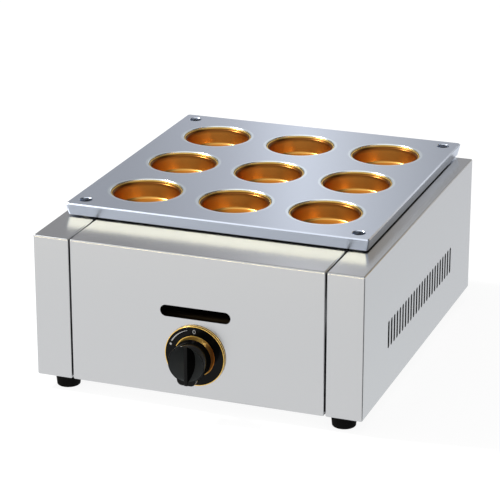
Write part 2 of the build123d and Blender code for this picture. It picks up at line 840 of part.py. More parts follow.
def valve_bonnet():
    """Cover with a nose that guides the stem."""
    bonnet = rod_y(bonnet_radius, 0, axis_z, bonnet_front, bonnet_rear)
    bonnet += rod_y(valve_nose_radius, 0, axis_z, nose_front, bonnet_front)
    bonnet -= rod_y(stem_radius + stem_clearance, 0, axis_z, nose_front - overrun, bonnet_rear + overrun)
    for x in valve_screw_sides:
        bonnet -= rod_y(screw_hole_radius, x, axis_z, bonnet_front - overrun, bonnet_rear + overrun)
    return bonnet


def valve_screws():
    length = valve_bracket_sheet + bonnet_thickness + valve_screw_grip
    screw = Rot(-90, 0, 0) * pan_head_screw(length)
    return [Pos(x, bracket_front, axis_z) * screw for x in valve_screw_sides]


def valve_bracket():
    """L of sheet: an upright behind the front panel and a foot on the pan."""
    half = valve_bracket_width / 2
    top = axis_z + valve_bracket_above_axis
    bracket = span(-half, half, bracket_front, bonnet_front, floor_z, top)
    foot_end = bonnet_front + valve_bracket_foot
    bracket += span(-half, half, bracket_front, foot_end, floor_z, floor_z + valve_bracket_sheet)
    bracket -= rod_y(valve_nose_radius + fit_gap, 0, axis_z, bracket_front - overrun, bonnet_front + overrun)
    for x in valve_screw_sides:
        bracket -= rod_y(screw_hole_radius, x, axis_z, bracket_front - overrun, bonnet_front + overrun)
    for side in (-1, 1):
        x = side * bracket_screw_x
        bracket -= rod_z(screw_hole_radius, x, bracket_screw_y, floor_z - overrun, floor_z + sheet + overrun)
    return bracket


def stem_section(radius, y0, y1):
    """Round bar along the knob's axis with one flat on top."""
    bar = rod_y(radius, 0, axis_z, y0, y1)
    flat_z = axis_z + radius - stem_flat
    return bar - span(-radius, radius, y0, y1, flat_z, flat_z + radius)


def valve_plug():
    """Tapered rotor: its side port meets the outlet a quarter turn after off."""
    plug = turned_y(plug_outline(0), 0, axis_z)
    bore_end = plug_front + stem_in_plug + push_travel + stem_rear_room
    plug -= stem_section(stem_radius + stem_clearance, plug_front - overrun, bore_end)
    plug -= rod_y(plug_gas_radius, 0, axis_z, outlet_y - plug_gas_radius, plug_rear + overrun)
    return plug - rod_x(valve_port_radius, outlet_y, axis_z, 0, plug_front_radius + overrun)


knob_hub_back = front_y - knob_hub_reach
knob_bore_end = knob_hub_back - stem_in_knob
stem_front = knob_bore_end + stem_rear_room
stem_rear = plug_front + stem_in_plug
collar_front = bonnet_rear + collar_gap
collar_rear = collar_front + collar_thickness


def valve_stem():
    """Steel stem with a collar behind the bonnet and flats at both ends."""
    stem = stem_section(stem_radius, stem_front, nose_front)
    stem += rod_y(stem_radius, 0, axis_z, nose_front, collar_front)
    stem += rod_y(collar_radius, 0, axis_z, collar_front, collar_rear)
    return stem + stem_section(stem_radius, collar_rear, stem_rear)


def stem_spring():
    """Open coil spring between the collar and the plug."""
    start = collar_rear + spring_wire / 2 + fit_gap
    end = plug_front - spring_wire / 2
    length = end - start
    path = Helix(length / spring_turns, length, spring_radius)
    section = Plane(origin=path @ 0, z_dir=path % 0) * Circle(spring_wire / 2)
    coil = sweep(section, path=path, is_frenet=True)
    return Pos(0, start, axis_z) * Rot(-90, 0, 0) * coil


def dial_bezel():
    """Brass-coloured pressed ring: rim, seat for the dial face and inner dish."""
    face = front_y - bezel_thickness
    seat = face + dial_face_depth
    dish = face + bezel_dish_depth
    seat_outer = bezel_radius - bezel_rim
    seat_inner = bezel_ring_radius
    points = [
        (bezel_hole_radius, front_y), (bezel_radius, front_y), (bezel_radius, face), (seat_outer, face),
        (seat_outer, seat), (seat_inner, seat), (seat_inner, face), (seat_inner - bezel_rim, face),
        (bezel_dish_radius, dish), (bezel_hole_radius, dish),
    ]
    rim_rounds = [bezel_rim_round, bezel_rim_round]
    rounds = [0, 0, *rim_rounds, 0, 0, *rim_rounds, bezel_edge_round, 0]
    bezel = turned_y(points, 0, axis_z, rounds)
    for x in (-bezel_stud_spread, bezel_stud_spread):
        bezel += rod_y(bezel_stud_radius, x, axis_z, front_y, front_y + bezel_stud_length)
    return bezel


def dial_face():
    """Black plate let into the bezel, a hair proud of it."""
    face = front_y - bezel_thickness
    seat = face + dial_face_depth
    outer = bezel_radius - bezel_rim - screw_play
    inner = bezel_ring_radius + screw_play
    crest = face - dial_face_relief
    points = [(inner, seat), (outer, seat), (outer, crest), (inner, crest)]
    return turned_y(points, 0, axis_z, [0, 0, dial_face_relief, dial_face_relief])


def bezel_push_nuts():
    inside = front_y + sheet
    nuts = []
    for x in (-bezel_stud_spread, bezel_stud_spread):
        nut = rod_y(push_nut_radius, x, axis_z, inside, inside + push_nut_thickness)
        nuts.append(nut - rod_y(bezel_stud_radius + pipe_fit, x, axis_z, inside - overrun, inside + overrun))
    return nuts


def knob():
    """Round knob: dished front with a wedge-shaped grip ridge, and a heel at the bottom."""
    back = front_y - knob_back_reach
    rim = front_y - knob_rim_reach
    tip = front_y - knob_reach
    body = turned_y(
        [(0, back), (knob_back_radius, back), (knob_front_radius, rim), (0, rim)],
        0, axis_z, [0, knob_edge_round, 0, 0],
    )
    heel_plane = Plane(origin=(0, back, axis_z), x_dir=(1, 0, 0), z_dir=(0, -1, 0))
    heel_face = Pos(0, -heel_reach_down / 2, 0) * RectangleRounded(heel_width, heel_reach_down, heel_corner)
    body += extrude(heel_plane * heel_face, back - rim)
    body = fillet(body.edges().group_by(Axis.Y)[0], knob_rim_land)
    # The dish is part of a ball that stops short of the rim
    dish_edge = knob_front_radius - knob_rim_land - knob_rim_flat
    dish_height = math.sqrt(knob_dish_radius**2 - dish_edge**2)
    body -= Pos(0, rim - dish_height, axis_z) * Sphere(knob_dish_radius)
    half_tip = ridge_front_width / 2
    half_foot = ridge_foot_width / 2
    ridge_foot = front_y - ridge_foot_reach
    wedge = make_face(
        FilletPolyline(
            (-half_foot, ridge_foot), (-half_tip, tip), (half_tip, tip), (half_foot, ridge_foot),
            radius=[0, ridge_round, ridge_round, 0], close=True,
        )
    )
    ridge_low = axis_z - heel_reach_down + ridge_end_inset
    ridge_high = axis_z + knob_front_radius
    ridge = Pos(0, 0, ridge_low) * extrude(wedge, ridge_high - ridge_low)
    disc = rod_y(knob_front_radius - ridge_end_inset, 0, axis_z, tip - overrun, back)
    below = span(-heel_width, heel_width, tip - overrun, back, ridge_low - overrun, axis_z)
    body += ridge & (disc + below)
    hollow_end = back - knob_hollow_depth
    hollow_radius = knob_back_radius - knob_skirt_wall
    body -= turned_y(
        [
            (knob_hub_radius, back + overrun), (hollow_radius, back + overrun),
            (hollow_radius, hollow_end), (knob_hub_radius, hollow_end),
        ],
        0, axis_z,
    )
    body += rod_y(knob_hub_radius, 0, axis_z, hollow_end - overrun, knob_hub_back)
    return body - stem_section(stem_radius + stem_clearance / 2, knob_bore_end, knob_hub_back + overrun)


def manifold():
    """Closed brass pipe across the front, over the valve's outlet."""
    x0 = burner_places[0] - manifold_end
    x1 = burner_places[-1] + manifold_end
    pipe = rod_x(manifold_radius, outlet_y, manifold_z, x0, x1)
    bore = manifold_radius - manifold_wall
    pipe -= rod_x(bore, outlet_y, manifold_z, x0 + manifold_wall, x1 - manifold_wall)
    pipe -= rod_z(valve_port_radius, 0, outlet_y, manifold_z - manifold_radius - overrun, manifold_z)
    for x in burner_places:
        pipe -= rod_y(injector_bore_radius, x, manifold_z, outlet_y, outlet_y + manifold_radius + overrun)
    return pipe


def injector(x):
    """Brass jet: a hexagon, saddled to the manifold, and a nozzle in the bell mouth."""
    tip = injector_tip_y
    hex_rear = tip - injector_nozzle_length
    jet = hex_y(injector_flats, x, manifold_z, outlet_y, hex_rear)
    jet += rod_y(injector_nozzle_radius, x, manifold_z, hex_rear, tip)
    jet -= rod_x(manifold_radius, outlet_y, manifold_z, x - injector_flats, x + injector_flats)
    jet -= rod_y(injector_bore_radius, x, manifold_z, outlet_y, tip - injector_orifice_length)
    return jet - rod_y(injector_orifice_radius, x, manifold_z, outlet_y, tip + overrun)


# Gas supply
supply_front_y = inlet_chamber_y
shank_end = back_y - inlet_shank_length


def supply_pipe():
    """Steel pipe from the inlet, under the heat shield, round one bend to the valve."""
    start = (inlet_block / 2 - pipe_socket, supply_front_y, supply_z)
    corner_x = supply_x - pipe_bend
    corner_y = supply_front_y + pipe_bend
    end = (supply_x, shank_end + pipe_socket, supply_z)
    route = Line(start, (corner_x, supply_front_y, supply_z))
    route += CenterArc((corner_x, corner_y, supply_z), pipe_bend, -90, 90)
    route += Line((supply_x, corner_y, supply_z), end)
    section_plane = Plane(origin=start, z_dir=(1, 0, 0))
    outer = sweep(section_plane * Circle(pipe_radius), path=route)
    inner = sweep(section_plane * Circle(pipe_radius - pipe_wall), path=route)
    return outer - inner


def pipe_nuts():
    """Compression nuts at the valve and behind the inlet."""
    face = inlet_block / 2
    plane = Plane(origin=(face, supply_front_y, supply_z), x_dir=(0, 1, 0), z_dir=(1, 0, 0))
    at_valve = extrude(plane * RegularPolygon(pipe_nut_flats / 2, 6, major_radius=False), pipe_nut_length)
    bore = pipe_radius + pipe_fit
    at_valve -= rod_x(bore, supply_front_y, supply_z, face - overrun, face + pipe_nut_length + overrun)
    near = shank_end - pipe_nut_length
    at_inlet = hex_y(pipe_nut_flats, supply_x, supply_z, near, shank_end)
    at_inlet -= rod_y(bore, supply_x, supply_z, near - overrun, shank_end + overrun)
    return [at_valve, at_inlet]


def inlet_connector():
    """Male gas connector: sealing barrel and hexagon outside, shank through the panel."""
    hex_end = back_y + inlet_hex_length
    end = back_y + inlet_reach
    body = hex_y(inlet_hex_flats, supply_x, supply_z, back_y, hex_end)
    body += turned_y(
        [
            (0, hex_end), (inlet_radius, hex_end), (inlet_radius, end - inlet_chamfer),
            (inlet_radius - inlet_chamfer, end), (0, end),
        ],
        supply_x, supply_z,
    )
    body += rod_y(inlet_shank_radius, supply_x, supply_z, shank_end, back_y)
    body -= rod_y(inlet_bore_radius, supply_x, supply_z, back_y, end + overrun)
    body -= rod_y(pipe_radius - pipe_wall, supply_x, supply_z, shank_end, back_y + overrun)
    socket_end = shank_end + pipe_socket
    return body - rod_y(pipe_radius + pipe_fit, supply_x, supply_z, shank_end - overrun, socket_end)


def inlet_locknut():
    near = back_y - sheet - inlet_nut_height
    nut = hex_y(inlet_nut_flats, supply_x, supply_z, near, back_y - sheet)
    return nut - rod_y(inlet_shank_radius + pipe_fit, supply_x, supply_z, near - overrun, back_y + overrun)


def corners(make):
    return [make(x, y) for x in (-foot_x, foot_x) for y in (-foot_y, foot_y)]


def save(name, shape):
    """Write one node; a list is a group of like solids that stay separate."""
    if isinstance(shape, list):
        solids = [solid for item in shape for solid in item.solids()]
    else:
        solids = list(shape.solids())
    export_step(solids[0] if len(solids) == 1 else Compound(children=solids), f"parts/{name}.step")


os.makedirs("parts", exist_ok=True)
save("front_panel", front_panel())
save("back_panel", back_panel())
save("right_side_cover", side_cover(1))
save("left_side_cover", side_cover(-1))
save("base_pan", base_pan())
foot_names = ("left_front", "left_rear", "right_front", "right_rear")
for foot_name, foot_solid in zip(foot_names, corners(foot)):
    save(f"foot_{foot_name}", foot_solid)
save("foot_bolts", corners(foot_bolt))
save("foot_nuts", corners(foot_nut))
save("base_screws", [Pos(x, y, base_z) * screw_from_below for x, y in base_screw_places])
save("mould_plate", mould_plate())
for (row, column), (x, y) in cup_centres.items():
    save(f"mould_cup_row{row}_col{column}", mould_cup(x, y))
save("plate_spacers", [plate_spacer(x, y) for x, y in plate_screw_places])
save("plate_screws", [plate_screw(x, y) for x, y in plate_screw_places])
save("plate_nuts", [plate_nut(x, y) for x, y in plate_screw_places])
save("firebox", firebox())
save("heat_shield", heat_shield())
save("chassis_screws", [Pos(*place) * screw_from_above for place in chassis_screw_places])
burner_names = ("left", "middle", "right")
for burner_name, x in zip(burner_names, burner_places):
    save(f"burner_tube_{burner_name}", burner_tube(x))
    save(f"air_mixer_{burner_name}", air_mixer(x))
    save(f"injector_{burner_name}", injector(x))
save("burner_bracket", burner_bracket())
save("burner_bracket_screws", bracket_screws())
save("manifold", manifold())
save("valve_body", valve_body())
save("valve_bonnet", valve_bonnet())
save("valve_screws", valve_screws())
save("valve_bracket", valve_bracket())
save("valve_plug", valve_plug())
save("valve_stem", valve_stem())
save("stem_spring", stem_spring())
save("dial_bezel", dial_bezel())
save("dial_face", dial_face())
save("bezel_push_nuts", bezel_push_nuts())
save("knob", knob())
save("supply_pipe", supply_pipe())
save("pipe_nuts", pipe_nuts())
save("inlet_connector", inlet_connector())
save("inlet_locknut", inlet_locknut())
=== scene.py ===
"""Gas dorayaki maker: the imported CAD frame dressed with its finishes, in a pale studio.

Metres, in the frame's own axes: +Z up, the knob's side faces -Y.
"""
import math

import bmesh
import bpy
import numpy as np
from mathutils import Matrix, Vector


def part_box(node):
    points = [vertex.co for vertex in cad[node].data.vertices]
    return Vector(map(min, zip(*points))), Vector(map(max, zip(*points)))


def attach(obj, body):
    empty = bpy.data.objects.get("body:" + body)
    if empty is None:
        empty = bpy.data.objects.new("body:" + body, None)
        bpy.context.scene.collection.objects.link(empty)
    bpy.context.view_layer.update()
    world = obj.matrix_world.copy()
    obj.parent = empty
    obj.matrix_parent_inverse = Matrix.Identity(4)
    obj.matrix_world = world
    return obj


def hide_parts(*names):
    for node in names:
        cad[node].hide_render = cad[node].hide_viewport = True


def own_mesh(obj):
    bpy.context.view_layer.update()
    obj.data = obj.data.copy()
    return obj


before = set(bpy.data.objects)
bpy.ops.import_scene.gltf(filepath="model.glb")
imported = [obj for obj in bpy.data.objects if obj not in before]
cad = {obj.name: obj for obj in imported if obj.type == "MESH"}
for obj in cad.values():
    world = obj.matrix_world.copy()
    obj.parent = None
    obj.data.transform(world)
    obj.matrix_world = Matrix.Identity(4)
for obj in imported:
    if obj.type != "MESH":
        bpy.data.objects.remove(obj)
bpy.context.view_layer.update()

# Camera. It stands well before the machine and to its right, looks down on the mould
# plate, and has a long lens, so that the edges stay nearly parallel.
VIEW_AZIMUTH = math.radians(20.34)
VIEW_ELEVATION = math.radians(20.05)
VIEW_DISTANCE = 2.41345
VIEW_SHIFT_RIGHT = -0.01463
VIEW_SHIFT_UP = 0.08434
VIEW_BASE_HEIGHT = 0.015
VIEW_REACH = 50.0
LENS_MM = 160.53
SENSOR_MM = 36.0

back = Vector((
    math.sin(VIEW_AZIMUTH) * math.cos(VIEW_ELEVATION),
    -math.cos(VIEW_AZIMUTH) * math.cos(VIEW_ELEVATION),
    math.sin(VIEW_ELEVATION),
))
right = (-back).cross(Vector((0, 0, 1))).normalized()
up = right.cross(-back)
camera = bpy.data.objects.new("camera", bpy.data.cameras.new("camera"))
camera.data.lens = LENS_MM
camera.data.sensor_width = SENSOR_MM
camera.data.clip_end = VIEW_REACH
camera.location = (
    back * VIEW_DISTANCE + right * VIEW_SHIFT_RIGHT + up * VIEW_SHIFT_UP + Vector((0, 0, VIEW_BASE_HEIGHT))
)
camera.rotation_euler = (-back).to_track_quat("-Z", "Y").to_euler()
bpy.context.scene.collection.objects.link(camera)
bpy.context.scene.camera = camera
bpy.context.scene.view_settings.view_transform = "Standard"

# Floor. A wide matt sheet that the lamps light a little, so that it keeps the
# machine's shadow; its own glow makes it white to the eye and pale in the metal.
FLOOR_SIZE = 12.0
FLOOR_TONE = (0.15, 0.15, 0.15, 1)
FLOOR_LIFT_SEEN = 0.90
FLOOR_LIFT_MIRRORED = 0.77


def new_material(name):
    """An empty node material, its tree and its output."""
    material = bpy.data.materials.new(name)
    material.use_nodes = True
    tree = material.node_tree
    tree.nodes.clear()
    return material, tree, tree.nodes.new("ShaderNodeOutputMaterial")


def math_node(tree, operation, *values):
    """One arithmetic step; each value is a socket or a number."""
    step = tree.nodes.new("ShaderNodeMath")
    step.operation = operation
    for socket, value in zip(step.inputs, values):
        if isinstance(value, (int, float)):
            socket.default_value = value
        else:
            tree.links.new(value, socket)
    return step.outputs[0]


bpy.ops.mesh.primitive_plane_add(size=FLOOR_SIZE)
floor = bpy.context.object
floor.name = "floor"
material, tree, out = new_material("studio_floor")
paint = tree.nodes.new("ShaderNodeBsdfDiffuse")
paint.inputs["Color"].default_value = FLOOR_TONE
lift = tree.nodes.new("ShaderNodeEmission")
path = tree.nodes.new("ShaderNodeLightPath")
seen = math_node(tree, "MULTIPLY", path.outputs["Is Camera Ray"], FLOOR_LIFT_SEEN)
mirrored = math_node(tree, "MULTIPLY", path.outputs["Is Glossy Ray"], FLOOR_LIFT_MIRRORED)
tree.links.new(math_node(tree, "ADD", seen, mirrored), lift.inputs["Strength"])
both = tree.nodes.new("ShaderNodeAddShader")
tree.links.new(paint.outputs[0], both.inputs[0])
tree.links.new(lift.outputs[0], both.inputs[1])
tree.links.new(both.outputs[0], out.inputs[0])
floor.data.materials.append(material)

# Room. What the metal mirrors: a grey for each height in degrees above the floor,
# apart for the left, the right and the front, which pass softly into each other.
# The eye sees plain white in its place.
ROOM_LEFT = ((0, 0.26), (30, 0.22), (42, 0.12), (60, 0.12), (74, 1.10), (90, 1.20))
ROOM_RIGHT = ((0, 0.50), (14, 0.45), (28, 0.05), (60, 0.03), (74, 1.00), (90, 1.20))
ROOM_FRONT = ((0, 0.82), (12, 0.54), (26, 0.70), (42, 0.72), (66, 1.10), (90, 1.20))
OVERHEAD = 90
RIGHT_TURN = 2.0
FRONT_TURN = 3.0
EVEN_SHARE = 0.5
WHITE = (1, 1, 1)


def tone_ramp(tree, along, tones):
    """Colour that changes with the socket along; tones pairs a place from 0 to 1 with a colour."""
    ramp = tree.nodes.new("ShaderNodeValToRGB")
    stops = ramp.color_ramp.elements
    while len(stops) < len(tones):
        stops.new(1.0)
    for stop, (where, tone) in zip(stops, tones):
        stop.position = where
        stop.color = (*tone, 1)
    tree.links.new(along, ramp.inputs["Fac"])
    return ramp.outputs["Color"]


def mixed(tree, share, first, second):
    """Colour that passes from first to second as the share goes from 0 to 1."""
    mix = tree.nodes.new("ShaderNodeMix")
    mix.data_type = "RGBA"
    for socket, value in zip(("Factor", "A", "B"), (share, first, second)):
        if isinstance(value, tuple):
            mix.inputs[socket].default_value = (*value, 1)
        else:
            tree.links.new(value, mix.inputs[socket])
    return mix.outputs["Result"]


world = bpy.data.worlds.new("studio")
world.use_nodes = True
bpy.context.scene.world = world
tree = world.node_tree
sky = tree.nodes.new("ShaderNodeTexCoord")
way = tree.nodes.new("ShaderNodeSeparateXYZ")
tree.links.new(sky.outputs["Generated"], way.inputs[0])
elevation = math_node(tree, "DIVIDE", math_node(tree, "ARCSINE", way.outputs["Z"]), math.pi / 2)
rightness = math_node(tree, "MULTIPLY_ADD", way.outputs["X"], RIGHT_TURN, EVEN_SHARE)
frontness = math_node(tree, "MULTIPLY", way.outputs["Y"], -FRONT_TURN)
left_tone, right_tone, front_tone = (
    tone_ramp(tree, elevation, [(degrees / OVERHEAD, (grey, grey, grey)) for degrees, grey in wall])
    for wall in (ROOM_LEFT, ROOM_RIGHT, ROOM_FRONT)
)
sides = mixed(tree, rightness, left_tone, right_tone)
room = mixed(tree, frontness, sides, front_tone)
room_path = tree.nodes.new("ShaderNodeLightPath")
shown = mixed(tree, room_path.outputs["Is Camera Ray"], room, WHITE)
tree.links.new(shown, tree.nodes["Background"].inputs["Color"])

# Lamps. A broad soft one from the left, and inside it a small strong one that puts
# the glints on the moulds' rims.
LAMP_AIM = (0, 0, 0.1)
KEY_PLACE = (-1.6, -0.3, 2.0)
KEY_SIZE = 1.0
KEY_WATTS = 8
SPARK_PLACE = (-1.7, -0.35, 2.0)
SPARK_SIZE = 0.25
SPARK_WATTS = 60


def soft_lamp(name, place, size, watts):
    """A square area lamp at place, facing the middle of the machine."""
    lamp = bpy.data.objects.new(name, bpy.data.lights.new(name, "AREA"))
    lamp.data.size = size
    lamp.data.energy = watts
    lamp.location = place
    lamp.rotation_euler = (Vector(LAMP_AIM) - Vector(place)).to_track_quat("-Z", "Y").to_euler()
    bpy.context.scene.collection.objects.link(lamp)


soft_lamp("key_lamp", KEY_PLACE, KEY_SIZE, KEY_WATTS)
soft_lamp("spark_lamp", SPARK_PLACE, SPARK_SIZE, SPARK_WATTS)

# Cards. Glowing sheets that only metal and gloss mirror. Three stand: a warm one before
# the machine, a wide banded one behind it and a small one behind its right edge. Two lie
# on the floor: a dark one off the front right corner, a long pale one along the right.
UPRIGHT = 90
FRONT_CARD_PLACE = (-0.28, -0.62, 0.175)
FRONT_CARD_SIZE = (1.1, 0.05)
FRONT_CARD_TONES = ((0, (1.0, 0.87, 0.56)), (1, (1.0, 0.87, 0.56)))
FRONT_CARD_LIGHT = 7.5
REAR_CARD_PLACE = (0.05, 0.55, 0.41)
REAR_CARD_SIZE = (1.3, 0.46)
REAR_CARD_TONES = (
    (0.00, (0.40, 0.40, 0.41)),
    (0.16, (0.42, 0.42, 0.43)),
    (0.27, (0.56, 0.56, 0.58)),
    (0.35, (0.86, 0.87, 0.90)),
    (0.42, (0.64, 0.64, 0.65)),
    (0.50, (0.46, 0.46, 0.47)),
    (0.72, (0.34, 0.33, 0.31)),
    (0.84, (0.48, 0.35, 0.18)),
    (1.00, (0.48, 0.35, 0.18)),
)
EDGE_CARD_PLACE = (0.34, 0.54, 0.30)
EDGE_CARD_SIZE = (0.12, 0.14)
EDGE_CARD_TONES = ((0, WHITE), (1, WHITE))
CORNER_CARD_PLACE = (0.541, -0.168, 0.004)
CORNER_CARD_SIZE = (0.50, 0.50)
CORNER_CARD_TURN = 50
CORNER_CARD_TONES = ((0, (0.2, 0.2, 0.2)), (1, (0.2, 0.2, 0.2)))
SIDE_CARD_PLACE = (0.38, 0.36, 0.002)
SIDE_CARD_SIZE = (1.1, 0.40)
SIDE_CARD_TURN = 90
SIDE_CARD_TONES = ((0.00, (0.84, 0.86, 0.87)), (0.35, (0.80, 0.815, 0.83)), (1.00, (0.77, 0.775, 0.80)))
PLAIN_LIGHT = 1.0


def card(name, place, tilt, turn, size, tones, light):
    """Glowing sheet, tilted up from lying flat, then turned about Z, both in degrees; tones run
    along its width from 0 to 1."""
    bpy.ops.mesh.primitive_plane_add(size=1)
    sheet = bpy.context.object
    sheet.name = name
    sheet.location = place
    sheet.rotation_euler = (math.radians(tilt), 0, math.radians(turn))
    sheet.scale = (*size, 1)
    sheet.visible_camera = False
    sheet.visible_diffuse = False
    sheet.visible_shadow = False
    sheet.visible_transmission = False
    material, tree, out = new_material(name)
    surface = tree.nodes.new("ShaderNodeTexCoord")
    across = tree.nodes.new("ShaderNodeSeparateXYZ")
    tree.links.new(surface.outputs["Generated"], across.inputs[0])
    glow = tree.nodes.new("ShaderNodeEmission")
    glow.inputs["Strength"].default_value = light
    tree.links.new(tone_ramp(tree, across.outputs["X"], tones), glow.inputs["Color"])
    tree.links.new(glow.outputs[0], out.inputs[0])
    sheet.data.materials.append(material)


card("front_card", FRONT_CARD_PLACE, UPRIGHT, 0, FRONT_CARD_SIZE, FRONT_CARD_TONES, FRONT_CARD_LIGHT)
card("rear_card", REAR_CARD_PLACE, UPRIGHT, 0, REAR_CARD_SIZE, REAR_CARD_TONES, PLAIN_LIGHT)
card("edge_card", EDGE_CARD_PLACE, UPRIGHT, 0, EDGE_CARD_SIZE, EDGE_CARD_TONES, PLAIN_LIGHT)
card("corner_card", CORNER_CARD_PLACE, 0, CORNER_CARD_TURN, CORNER_CARD_SIZE, CORNER_CARD_TONES, PLAIN_LIGHT)
card("side_card", SIDE_CARD_PLACE, 0, SIDE_CARD_TURN, SIDE_CARD_SIZE, SIDE_CARD_TONES, PLAIN_LIGHT)

# Shading of the CAD pieces. Their triangles are joined and shaded round, and an
# edge sharper than a bend stays crisp; the shapes themselves aren't changed.
CRISP_EDGE = math.radians(32)
JOIN_DISTANCE = 0.000005


def keep_flats(piece):
    """A flat face keeps its own direction up to its rounded edges."""
    piece.modifiers.new("flats_stay_flat", "WEIGHTED_NORMAL").keep_sharp = True


shading = bpy.data.node_groups.new("bends_shaded_round", "GeometryNodeTree")
shading.interface.new_socket("Geometry", in_out="INPUT", socket_type="NodeSocketGeometry")
shading.interface.new_socket("Geometry", in_out="OUTPUT", socket_type="NodeSocketGeometry")
part_in = shading.nodes.new("NodeGroupInput")
joined = shading.nodes.new("GeometryNodeMergeByDistance")
joined.inputs["Distance"].default_value = JOIN_DISTANCE
all_smooth = shading.nodes.new("GeometryNodeSetShadeSmooth")
bend = shading.nodes.new("GeometryNodeInputMeshEdgeAngle")
gentle = shading.nodes.new("FunctionNodeCompare")
gentle.operation = "LESS_THAN"
gentle.inputs["B"].default_value = CRISP_EDGE
by_edge = shading.nodes.new("GeometryNodeSetShadeSmooth")
by_edge.domain = "EDGE"
part_out = shading.nodes.new("NodeGroupOutput")
shading.links.new(part_in.outputs[0], joined.inputs["Geometry"])
shading.links.new(joined.outputs[0], all_smooth.inputs["Geometry"])
shading.links.new(all_smooth.outputs[0], by_edge.inputs["Geometry"])
shading.links.new(bend.outputs["Unsigned Angle"], gentle.inputs["A"])
shading.links.new(gentle.outputs[0], by_edge.inputs["Shade Smooth"])
shading.links.new(by_edge.outputs[0], part_out.inputs[0])
for part in cad.values():
    part.modifiers.new("shading", "NODES").node_group = shading
    keep_flats(part)

# Case. The front panel, back panel and side covers are folded from thin stainless
# sheet with a fine upright grain, and screwed to a tray that closes the bottom. The
# tray and the valve's bracket are of duller sheet.
CASE_TONE = (0.592, 0.600, 0.614)
CASE_ROUGHNESS = 0.22
CASE_GRAIN = (900, 900, 25)
CASE_GRAIN_DEPTH = 0.06
PAN_TONE = (0.48, 0.48, 0.49)
PAN_ROUGHNESS = 0.45
PAN_GRAIN = (25, 900, 900)
PAN_GRAIN_DEPTH = 0.2
GRAIN_DETAIL = 2.0
GRAIN_HEIGHT = 0.0001


def grained_metal(name, colour, roughness, grain_scale, grain_depth):
    """Metal whose fine grain is noise drawn out along one axis and used as a small bump."""
    material, tree, out = new_material(name)
    shader = tree.nodes.new("ShaderNodeBsdfPrincipled")
    shader.inputs["Base Color"].default_value = (*colour, 1)
    shader.inputs["Metallic"].default_value = 1.0
    shader.inputs["Roughness"].default_value = roughness
    place = tree.nodes.new("ShaderNodeTexCoord")
    mapping = tree.nodes.new("ShaderNodeMapping")
    mapping.inputs["Scale"].default_value = grain_scale
    noise = tree.nodes.new("ShaderNodeTexNoise")
    noise.inputs["Scale"].default_value = 1.0
    noise.inputs["Detail"].default_value = GRAIN_DETAIL
    bump = tree.nodes.new("ShaderNodeBump")
    bump.inputs["Strength"].default_value = grain_depth
    bump.inputs["Distance"].default_value = GRAIN_HEIGHT
    tree.links.new(place.outputs["Object"], mapping.inputs["Vector"])
    tree.links.new(mapping.outputs["Vector"], noise.inputs["Vector"])
    tree.links.new(noise.outputs["Fac"], bump.inputs["Height"])
    tree.links.new(bump.outputs["Normal"], shader.inputs["Normal"])
    tree.links.new(shader.outputs[0], out.inputs[0])
    return material


def dress(material, slot, *names):
    """These CAD nodes wear this material."""
    for name in names:
        cad[name].data.materials.clear()
        cad[name].data.materials.append(material)


case_steel = grained_metal("case_steel", CASE_TONE, CASE_ROUGHNESS, CASE_GRAIN, CASE_GRAIN_DEPTH)
dress(case_steel, "case_steel", "front_panel", "back_panel", "left_side_cover", "right_side_cover")
pan_steel = grained_metal("pan_steel", PAN_TONE, PAN_ROUGHNESS, PAN_GRAIN, PAN_GRAIN_DEPTH)
dress(pan_steel, "pan_steel", "base_pan", "valve_bracket")

# Feet. Four tapered feet moulded from black rubber, each held by a bolt through
# the tray.
RUBBER_TONE = (0.004, 0.004, 0.004)
RUBBER_ROUGHNESS = 0.8
RUBBER_GLOSS = 0.1
CLOUD_SCALE = 60.0
CLOUD_SPREAD = 0.15
USUAL_GLOSS = 0.5


def plain_finish(name, colour, roughness, metallic=0.0, gloss=USUAL_GLOSS):
    """One even finish with a faint cloudy change of roughness."""
    material, tree, out = new_material(name)
    shader = tree.nodes.new("ShaderNodeBsdfPrincipled")
    shader.inputs["Base Color"].default_value = (*colour, 1)
    shader.inputs["Metallic"].default_value = metallic
    shader.inputs["Specular IOR Level"].default_value = gloss
    place = tree.nodes.new("ShaderNodeTexCoord")
    cloud = tree.nodes.new("ShaderNodeTexNoise")
    cloud.inputs["Scale"].default_value = CLOUD_SCALE
    spread = tree.nodes.new("ShaderNodeMapRange")
    spread.inputs["To Min"].default_value = roughness * (1 - CLOUD_SPREAD)
    spread.inputs["To Max"].default_value = roughness * (1 + CLOUD_SPREAD)
    tree.links.new(place.outputs["Object"], cloud.inputs["Vector"])
    tree.links.new(cloud.outputs["Fac"], spread.inputs["Value"])
    tree.links.new(spread.outputs["Result"], shader.inputs["Roughness"])
    tree.links.new(shader.outputs[0], out.inputs[0])
    return material


rubber = plain_finish("foot_rubber", RUBBER_TONE, RUBBER_ROUGHNESS, gloss=RUBBER_GLOSS)
for name in cad:
    if name.startswith("foot_") and not name.endswith(("bolts", "nuts")):
        dress(rubber, "foot_rubber", name)

# Fasteners. Bright steel bolts, nuts, spacers, push nuts and screws hold the sheets,
# the valve and the plate; the plate's own four screws are blackened against the heat.
SCREW_TONE = (0.55, 0.55, 0.56)
SCREW_ROUGHNESS = 0.3
BLACK_OXIDE_TONE = (0.05, 0.05, 0.05)
BLACK_OXIDE_ROUGHNESS = 0.35

screw_steel = plain_finish("screw_steel", SCREW_TONE, SCREW_ROUGHNESS, metallic=1.0)
dress(
    screw_steel, "screw_steel", "foot_bolts", "foot_nuts", "base_screws", "chassis_screws", "plate_nuts",
    "plate_spacers", "burner_bracket_screws", "valve_screws", "bezel_push_nuts",
)
black_oxide = plain_finish("black_oxide", BLACK_OXIDE_TONE, BLACK_OXIDE_ROUGHNESS, metallic=1.0)
dress(black_oxide, "screw_steel", "plate_screws")

